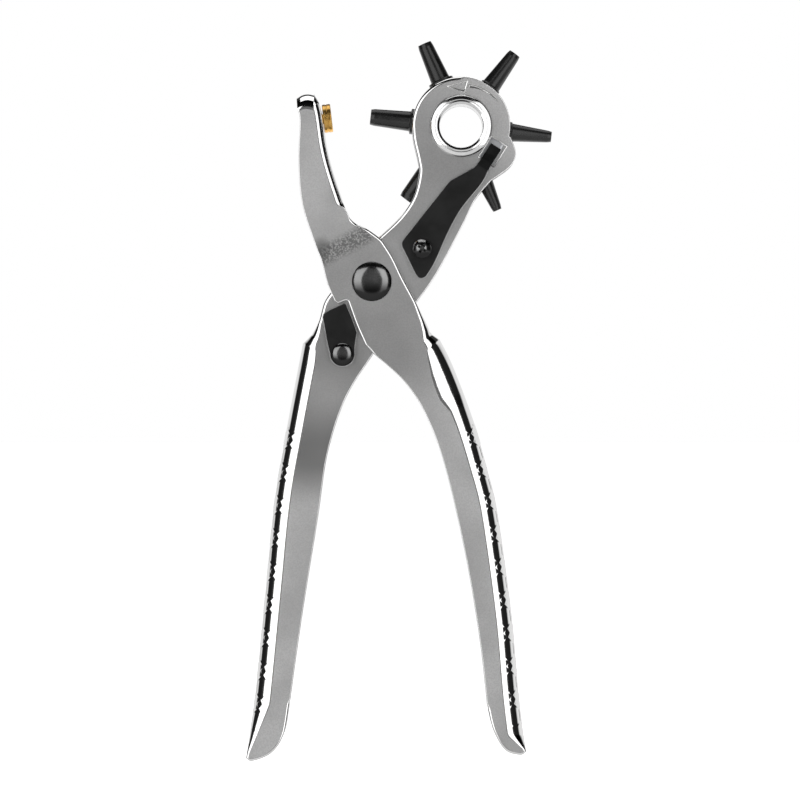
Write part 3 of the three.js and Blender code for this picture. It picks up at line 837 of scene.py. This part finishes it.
def wheel_arm():
    """Stamped arm with the round head that carries the wheel, and the left handle."""
    head = arc(WHEEL_CENTRE, HEAD_RADIUS, -12, 180, 112)
    outline, part = follow(
        head[-1],
        (MEDIUM, [(12.8, 43.7), (14.2, 37.5), (14.6, 33.4), (12.9, 26.3), (8.8, 20.0), (2.5, 14.0)]),
        (MEDIUM, [(-3.5, 11.6), (-9.0, 7.0), (-12.0, -2.5)]),
        (MEDIUM, [(-14.7, -6.4), (-16.4, -12.3), (-18.6, -16.4)]),
        (MEDIUM, [WHEEL_HANDLE_TOP]),
        (FINE, WHEEL_HANDLE_BACK),
        (CLOSE, [(-36.9, -148.3), (-31.1, -145.9), (-27.2, -140.2), (-25.4, -130.2)]),
        (COARSE, [(-21.5, -102.8), (-16.8, -73.5), (-13.7, -52.9), (-8.1, -35.9), (0.4, -22.3)]),
        (COARSE, [(8.0, -13.5), (18.9, 0.8), (27.8, 17.0), (31.8, 25.1), (36.9, 31.3)]),
        (MEDIUM, [(42.9, 35.7), (44.5, 39.8), (42.9, 44.6)]),
        lead=head[:-1],
    )
    z = outline[:, 1]
    insets = np.full(len(outline), PLAIN_EDGE)
    insets[part <= 1] = WHEEL_ARM_EDGE
    insets[(part >= 6) | (outline[:, 0] > WHEEL_CENTRE[0])] = FREE_EDGE
    back = part == 4
    growing = (part == 2) | (part == 3) | back
    heights, reaches = np.array(WHEEL_SHOULDER_REACH).T
    insets[growing] = np.interp(-z[growing], -heights, reaches)
    insets = smooth_along(outline, insets, 0.5)
    start = measure(outline)[1][np.argmax(back)] + 28.5
    grip = grip_relief(start, 5.25, 0.0)
    arm = bent_block(
        "wheel_arm_sheet", outline, WHEEL_ARM_OUTSIDE, bend_depth(insets), BEND_RINGS, 4,
        relief=grip, insets=insets,
    )
    handle, _ = follow(
        (-13, -2), (STRAIGHT, [WHEEL_HANDLE_TOP]), (COARSE, WHEEL_HANDLE_BACK),
        (STRAIGHT, [(-42.5, -168)]), (STRAIGHT, [(24, -168)]), (STRAIGHT, [(24, -2)]),
    )
    above_painted_shade = [(65, 75), (-32, 75), (-32, -30.9), (-15.5, -12.5), (65, -12.5)]
    shaft = arc(WHEEL_CENTRE, ARROW_RADII[1], *ARROW_ANGLES, ARROW_POINTS, ARROW_END_RADIUS)
    shaft += arc(WHEEL_CENTRE, ARROW_END_RADIUS, *ARROW_ANGLES[::-1], ARROW_POINTS, ARROW_RADII[0])[1:]
    shaft_slope = 0.05 + 0.5 * np.abs(np.linspace(-1, 1, len(shaft)))
    forward, side = axes(TONGUE_ANGLE)
    reach = SLOT_WIDTH / 2 + 0.4
    corners = ((0.9, -reach), (8.9, -reach), (8.9, reach), (0.9, reach))
    slot_rim = [Vector(TONGUE_ROOT) + forward * u + side * v for u, v in corners]
    engraved = (-WHEEL_ARM_OUTSIDE - 1, -WHEEL_ARM_OUTSIDE + ARROW_DEPTH)
    slot = [(1.3, -8), (8.5, -8), (8.5, -3.3), (1.3, -3.3)]
    carve(arm, [
        bent_block("handle_hollow", shrink(handle, SHEET), WHEEL_ARM_INSIDE, HANDLE_BEND - SHEET, 10),
        bent_block("upper_hollow", above_painted_shade, WHEEL_ARM_INSIDE - SHARP, SHARP, 1),
        drill(PIVOT_SHANK + GAP, (0, 0)),
        drill(HUB_HOLE + HUB_WALL + GAP, WHEEL_CENTRE, segments=96),
        drill(SCREW_SHANK + GAP, SCREW_PLACE, rear=0),
        drill(LATCH_SHANK + GAP, LATCH_PIVOT, rear=0),
        bent_block("arrow_shaft", shaft, engraved, 0.33, 5, insets=shaft_slope),
        bent_block("arrow_head", ARROW_HEAD, engraved, 0.33, 5, insets=0.95),
        bent_block("slot_rim", slot_rim, engraved, 0.4, 5, insets=0.45),
        bar("slot", slot, TONGUE_ROOT, TONGUE_ANGLE, SLOT_WIDTH),
    ])
    even_shading(arm)
    hand_over(arm, "wheel_arm", "plated_steel")


# ---- small pieces


def rivet(name, head, crown, shank, tail, rear_head, segments, place=(0, 0)):
    """A rivet with a domed front head; rear_head lists (radius, depth past tail, rounding) of the other."""
    seat = -ANVIL_ARM_OUTSIDE - GAP
    profile = [*dome(head, crown, seat, RIVET_DOME), (shank, seat, 0), (shank, tail, 0)]
    profile += [(radius, tail + depth, *rest) for radius, depth, *rest in rear_head]
    return lathe(name, eased(profile), segments, place)


def pivot():
    """Pivot rivet, the washer under its rear head and the sleeve between the cheeks."""
    bore = PIVOT_SHANK + GAP
    washer_front = ANVIL_ARM_OUTSIDE + GAP
    washer_rear = washer_front + WASHER_THICKNESS
    sleeve = WHEEL_ARM_INSIDE - GAP
    hand_over(rivet(
        "pivot_rivet_domed", PIVOT_HEAD, PIVOT_CROWN, PIVOT_SHANK, washer_rear + GAP,
        [(4.6, 0, 0.1), (4.1, 0.9, 0.5), (2.4, 1.5, 0.8), (0, 1.6)], 96,
    ), "pivot_rivet", "black_steel", PIVOT_BLACK)
    washer = eased(ring(bore, WASHER_RADIUS, washer_front, washer_rear), 0.2)
    hand_over(lathe("pivot_washer_flat", washer, 96), "pivot_washer", "zinc_steel")
    tube = eased(ring(bore, SLEEVE_RADIUS, -sleeve, sleeve), 0.2)
    hand_over(lathe("pivot_sleeve_tube", tube, 64), "pivot_sleeve", "zinc_steel")


def hub_eyelet():
    """Rolled eyelet that is the axle of the wheel, the same at the front and the rear."""
    seat = WHEEL_ARM_OUTSIDE + GAP
    wall = HUB_HOLE + HUB_WALL
    crest = seat + HUB_CREST
    rear = [
        (HUB_FLANGE, seat, 0.05), (HUB_FLANGE, seat + 0.35, 0.2), (HUB_FLANGE - 0.45, crest - 0.4, 0.3),
        (HUB_FLANGE - 1.5, crest, 0.15), (HUB_FLANGE - 1.65, crest - 0.25, 0.08),
        (HUB_HOLE + 0.75, crest - 0.1, 0.2), (HUB_HOLE, crest - 0.55, 0.3),
    ]
    front = [(radius, -y, corner) for radius, y, corner in reversed(rear)]
    profile = eased([(wall, seat, 0.1), *rear, *front, (wall, -seat, 0.1)], steps=6)
    hand_over(lathe("hub_eyelet_rolled", profile, 128, WHEEL_CENTRE), "hub_eyelet", "bright_steel")


def anvil():
    """Turned brass disc with a groove round it, its stud riveted through the jaw."""
    back = -ANVIL_THICKNESS
    tail = back - SHEET - 2 * GAP - 0.1
    groove = ANVIL_RADIUS - 0.1
    profile = eased([
        (0, 0), (ANVIL_RADIUS, 0, 0.35), (ANVIL_RADIUS, -1.15, 0.08), (groove, -1.3, 0.08),
        (groove, -1.55, 0.08), (ANVIL_RADIUS, -1.7, 0.08), (ANVIL_RADIUS, back, 0.3), (ANVIL_STUD, back),
        (ANVIL_STUD, tail), (2.6, tail, 0.2), (2.0, tail - 1.1, 0.4), (0, tail - 1.3),
    ])
    hand_over(lathe("anvil_turned", profile, 96, ANVIL_FACE, ANVIL_TILT), "anvil", "brass")


def index_screw():
    """Screw of the index spring, with a cross recess, and its nut behind the cheek."""
    seat = -WHEEL_ARM_OUTSIDE - GAP - LEAF_THICKNESS - 0.6
    screw = lathe("index_screw_pan", eased([
        *dome(SCREW_HEAD, SCREW_CROWN, seat - 0.4, SCREW_DOME), (SCREW_HEAD, seat, 0.1),
        (SCREW_SHANK, seat, 0), (SCREW_SHANK, -1.2, 0.2), (0, -1.2),
    ]), 96, SCREW_PLACE)
    recess = [
        (-1.75, seat - 3), (1.75, seat - 3), (1.7, seat - 1.7), (0.8, seat - 0.5), (-0.8, seat - 0.5),
        (-1.7, seat - 1.7),
    ]
    carve(screw, [bar("recess", recess, SCREW_PLACE, -SCREW_TURN - turn, RECESS_WIDTH) for turn in (0, 90)])
    hand_over(screw, "index_screw", "black_steel", SCREW_BLACK)

    front = -WHEEL_ARM_INSIDE + GAP
    nut = lathe("index_nut_hex", [
        (0, front), (2.6, front), (3.0, front + 0.3), (3.0, front + 1.7), (2.6, front + 2.0),
        (0, front + 2.0),
    ], 6, SCREW_PLACE)
    carve(nut, [drill(SCREW_SHANK + GAP, SCREW_PLACE)])
    hand_over(nut, "index_nut", "zinc_steel")


def latch_rivet():
    """Small rivet that the latch turns on."""
    hand_over(rivet(
        "latch_rivet_domed", LATCH_HEAD, LATCH_CROWN, LATCH_SHANK, -WHEEL_ARM_INSIDE + GAP,
        [(2.5, 0, 0.1), (2.0, 0.9, 0.4), (0, 1.1)], 80, LATCH_PIVOT,
    ), "latch_rivet", "black_steel", LATCH_BLACK)


def punch_wheel():
    """Turned wheel with six seats, six slug holes and six click dimples."""
    half = WHEEL_THICKNESS / 2
    bore = HUB_HOLE + HUB_WALL + GAP
    wheel = lathe("punch_wheel_turned", eased([
        (bore, -half, 0.2), (bore, half, 0.2), (WHEEL_RADIUS, half, 0.6), (WHEEL_RADIUS, -half, 0.6),
    ], steps=5), 144, WHEEL_CENTRE)
    cutters = []
    for i in range(len(TUBE_SIZES)):
        angle = TUBE_FIRST_ANGLE + i * TUBE_STEP
        cutters.append(lathe(
            "seat", [(0, 5), (1.4, 5), (1.4, 9.9), (TUBE_STEM + GAP, 9.9), (TUBE_STEM + GAP, 18), (0, 18)],
            48, WHEEL_CENTRE, angle,
        ))
        between = around(WHEEL_CENTRE, DETENT_RADIUS, angle + TUBE_STEP / 2)
        cutters.append(lathe("dimple", [(0, -half + 0.8), (1.2, -half - 0.4), (0, -half - 0.4)], 32, between))
    carve(wheel, cutters)
    even_shading(wheel)
    hand_over(wheel, "punch_wheel", "zinc_steel")


def punch_tubes():
    """Six hollow cutting tubes, from the smallest round to the largest."""
    flange = WHEEL_RADIUS + GAP
    for i, size in enumerate(TUBE_SIZES):
        bore = size / 2 - 0.15
        edge = size / 2 + 0.35
        base = 2.7 + 0.5 * (size - TUBE_SIZES[0]) / (TUBE_SIZES[-1] - TUBE_SIZES[0])
        brim = TUBE_FLANGE if size >= FIRST_FLANGED else base + 0.4
        inner = min(bore, TUBE_STEM - 0.4)
        profile = eased([
            (inner, 10.2, 0.1), (TUBE_STEM, 10.2, 0.1), (TUBE_STEM, flange, 0), (brim, flange, 0.15),
            (brim, flange + 1.1, 0.25), (base, flange + 1.3, 0.35), (edge + 0.25, TUBE_REACH - 1.2, 0.15),
            (edge, TUBE_REACH, 0.02), (bore, TUBE_REACH, 0.02), (bore, flange + 1.3, 0.1),
            (inner, flange, 0.1),
        ])
        node = f"punch_tube_{size:.1f}".replace(".", "_")
        tube = lathe(node + "_turned", profile, 72, WHEEL_CENTRE, TUBE_FIRST_ANGLE + i * TUBE_STEP)
        hand_over(tube, node, "black_steel")


def index_spring():
    """Pressed leaf whose tongue dips into the slot of the cheek."""
    forward, side = axes(TONGUE_ANGLE)
    root = Vector(TONGUE_ROOT)
    tip = root + forward * TONGUE_LENGTH
    edge = side * TONGUE_WIDTH / 2
    outline, _ = follow(
        root + edge,
        (0.5, [(31.6, 35.3)]),
        (0.8, [(24.6, 31.4)]),
        (TIGHT, [(23.9, 30.9), (23.4, 30.3)]),
        (1.0, [(9.9, 13.3)]),
        (TIGHT, [(9.2, 12.0), (9.3, 10.7)]),
        (0.8, [(13.4, 2.3)]),
        (TIGHT, [(14.4, 1.1), (15.6, 0.9), (16.8, 1.5)]),
        (0.7, [(19.5, 6.0), (23.6, 15.2), (27.7, 22.5), (34.0, 30.4), root - edge]),
        (TIGHT, [tip - edge]),
        (TIGHT, [tip + edge]),
        (TIGHT, [root + edge]),
    )
    under = -WHEEL_ARM_OUTSIDE - GAP
    leaf = bent_block("index_spring_leaf", outline, (under - LEAF_THICKNESS, under), 0.22, 5)
    work = bmesh.new()
    work.from_mesh(leaf.data)
    origin = Vector((root.x, 0, root.y)) * MM
    ahead = Vector((forward.x, 0, forward.y))
    for step in np.linspace(0.6, 4.6, 13):
        everything = work.verts[:] + work.edges[:] + work.faces[:]
        spot = origin + ahead * step * MM
        bmesh.ops.bisect_plane(work, geom=everything, dist=1e-7, plane_co=spot, plane_no=ahead)
    drop = -WHEEL_THICKNESS / 2 - 0.4 - under
    for vertex in work.verts:
        past = (vertex.co - origin).dot(ahead) / MM
        vertex.co.y += drop * float(ramp(past, 0.8, 4.4)) * MM
    work.to_mesh(leaf.data)
    work.free()
    carve(leaf, [drill(SCREW_SHANK + GAP, SCREW_PLACE, rear=0)])
    even_shading(leaf)
    hand_over(leaf, "index_spring", "black_steel", BLACK_SHEET)


def latch():
    """Latch plate in the notch of the anvil arm."""
    lobe = arc(LATCH_PIVOT, LATCH_LOBE, 180, 360, 40)
    outline, _ = follow(
        lobe[-1],
        (0.7, [(-5.05, -19.8), (-4.4, -15.8)]),
        (0.5, [(-5.75, -11.9), (-7.7, -7.2)]),
        (TIGHT, [(-8.1, -6.65), (-8.7, -6.7)]),
        (0.5, [(-11.2, -7.8), (-13.7, -9.0)]),
        (TIGHT, [(-14.9, -9.9), (-15.3, -11.2)]),
        (0.5, [(-14.5, -15.6)]),
        (0.5, [(-14.0, -18.6), lobe[0]]),
        lead=lobe[:-1],
    )
    span = (-ANVIL_ARM_OUTSIDE + 0.1, -WHEEL_ARM_OUTSIDE - GAP)
    plate = bent_block("latch_plate", outline, span, 0.35)
    carve(plate, [drill(LATCH_SHANK + GAP, LATCH_PIVOT, rear=0)])
    even_shading(plate)
    hand_over(plate, "latch", "black_steel", BLACK_SHEET)


def return_spring():
    """Torsion spring round the sleeve, one leg in each handle."""
    per_turn = 12
    rise = SPRING_TURNS * (2 * SPRING_WIRE + GAP)
    route = [Vector((-22.4, -rise / 2, -44.0)), Vector((-11.2, -rise / 2, -17.0))]
    count = int(SPRING_TURNS * per_turn)
    for i in range(count + 1):
        x, z = around((0, 0), SPRING_COIL, 180 - 360 * i / per_turn)
        route.append(Vector((x, -rise / 2 + rise * i / count, z)))
    route += [Vector((13.2, rise / 2, -16.0)), Vector((27.6, rise / 2, -41.5))]
    path = centripetal(route, 8)
    sides = 14
    vertices = []
    across = Vector((0, 1, 0))
    for i, point in enumerate(path):
        ahead = (path[min(i + 1, len(path) - 1)] - path[max(i - 1, 0)]).normalized()
        across = (across - ahead * across.dot(ahead)).normalized()
        third = ahead.cross(across)
        for k in range(sides):
            turn = 2 * math.pi * k / sides
            vertices.append(point + (across * math.cos(turn) + third * math.sin(turn)) * SPRING_WIRE)
    wire = new_piece("return_spring_wire", vertices, skin(len(path), sides))
    wire.data.materials.append(MATERIALS["spring_wire"])
    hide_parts("return_spring")
    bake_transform(wire)


def centripetal(points, steps):
    """Points along a centripetal Catmull-Rom curve."""
    path = []
    padded = [2 * points[0] - points[1], *points, 2 * points[-1] - points[-2]]
    levels = (((0, 1), (1, 2), (2, 3)), ((0, 2), (1, 3)), ((1, 2),))
    for i in range(1, len(padded) - 2):
        window = padded[i - 1:i + 3]
        knots = [0.0]
        for a, b in zip(window, window[1:]):
            knots.append(knots[-1] + math.sqrt((b - a).length))
        for k in range(steps):
            t = knots[1] + (knots[2] - knots[1]) * k / steps
            level = window
            for spans in levels:
                level = [
                    level[j].lerp(level[j + 1], (t - knots[a]) / (knots[b] - knots[a]))
                    for j, (a, b) in enumerate(spans)
                ]
            path.append(level[0])
    path.append(points[-1])
    return path


# ---- camera, floor and light

VIEW_CENTRE = (8.7, -36.6)
VIEW_WIDTH = 248.2
CAMERA_DISTANCE = 1500.0
SENSOR = 36.0
FLOOR_HEIGHT = -158.0
FLOOR_HALF = 12.0  # metres
SOFTBOX_DISTANCE = 1.6  # metres
# Brightness of the surround against direction, from the front (0) to the rear (1).
SURROUND = [(0.0, 0.15), (0.20, 0.08), (0.30, 0.015), (0.60, 0.012), (0.68, 0.80), (1.0, 0.85)]


def set_camera():
    """Long lens, straight on to the front of the tool."""
    camera = bpy.data.cameras.new("camera")
    camera.sensor_width = SENSOR
    camera.lens = SENSOR * CAMERA_DISTANCE / VIEW_WIDTH
    camera.clip_start = 0.01
    camera.clip_end = 50
    holder = add_object("camera", camera)
    holder.location = Vector((VIEW_CENTRE[0], -CAMERA_DISTANCE, VIEW_CENTRE[1])) * MM
    holder.rotation_euler = (math.pi / 2, 0, 0)
    bpy.context.scene.camera = holder


def set_floor():
    """Large pale floor, below where the handle tips swing to."""
    mesh = bpy.data.meshes.new("floor")
    signs = ((-1, -1), (1, -1), (1, 1), (-1, 1))
    corners = [(x * FLOOR_HALF, y * FLOOR_HALF, FLOOR_HEIGHT * MM) for x, y in signs]
    mesh.from_pydata(corners, [], [(0, 1, 2, 3)])
    floor = add_object("floor", mesh)
    n = Nodes("floor_paper")
    shade = n.blend(n.spread(n.noise(3, 2)), grey(0.90), grey(0.93))
    mesh.materials.append(n.finish(
        base_color=shade, roughness=0.8, emission_color=grey(1.0), emission_strength=1.0,
    ))
    floor.visible_glossy = False
    floor.visible_shadow = False


def softbox(name, direction, width, height, power):
    """A rectangular lamp that faces the tool from a direction."""
    lamp = bpy.data.lights.new(name, "AREA")
    lamp.shape = "RECTANGLE"
    lamp.size = width
    lamp.size_y = height
    lamp.energy = power
    holder = add_object(name, lamp)
    way = Vector(direction).normalized()
    holder.location = way * SOFTBOX_DISTANCE
    holder.rotation_euler = way.to_track_quat("Z", "Y").to_euler()
    holder.visible_camera = False


def set_light():
    """White surround, dark to the front and the sides, with softboxes left, right and above."""
    n = Nodes("studio", bpy.data.worlds)
    shades = n.tree.nodes.new("ShaderNodeValToRGB")
    elements = shades.color_ramp.elements
    while len(elements) < len(SURROUND):
        elements.new(0.5)
    for element, (position, value) in zip(elements, SURROUND):
        element.position = position
        element.color = grey(value)
    to_rear = n.along((0.15, 1.0, 0.0), "Generated")
    n.put(shades.inputs["Fac"], n.spread(to_rear, -1.0, 1.0, interpolation="LINEAR"))
    up = n.along((0, 0, 1), "Generated")
    above, below = n.spread(up, 0.36, 0.52, 1.0, 0.05), n.spread(up, -0.20, -0.42, 0.0, 0.6)
    dimmed = n.math("MULTIPLY_ADD", shades.outputs["Color"], above, below)
    seen = n.node("LightPath", "Is Camera Ray", {})
    n.put(n.tree.nodes["Background"].inputs["Color"], n.blend(seen, dimmed, grey(1.0)))
    bpy.context.scene.world = n.owner
    softbox("softbox_left", (-0.61, -0.78, 0.14), 1.42, 1.8, 11.4)
    softbox("softbox_right", (0.51, -0.85, 0.14), 0.98, 1.8, 8.0)
    softbox("softbox_top", (0.0, 0.17, 0.98), 1.6, 1.3, 9.0)


# ---- assembly

set_camera()
set_floor()
set_light()
anvil_arm()
wheel_arm()
pivot()
hub_eyelet()
anvil()
index_screw()
latch_rivet()
punch_wheel()
punch_tubes()
index_spring()
latch()
return_spring()
bpy.context.scene.view_settings.view_transform = "Standard"
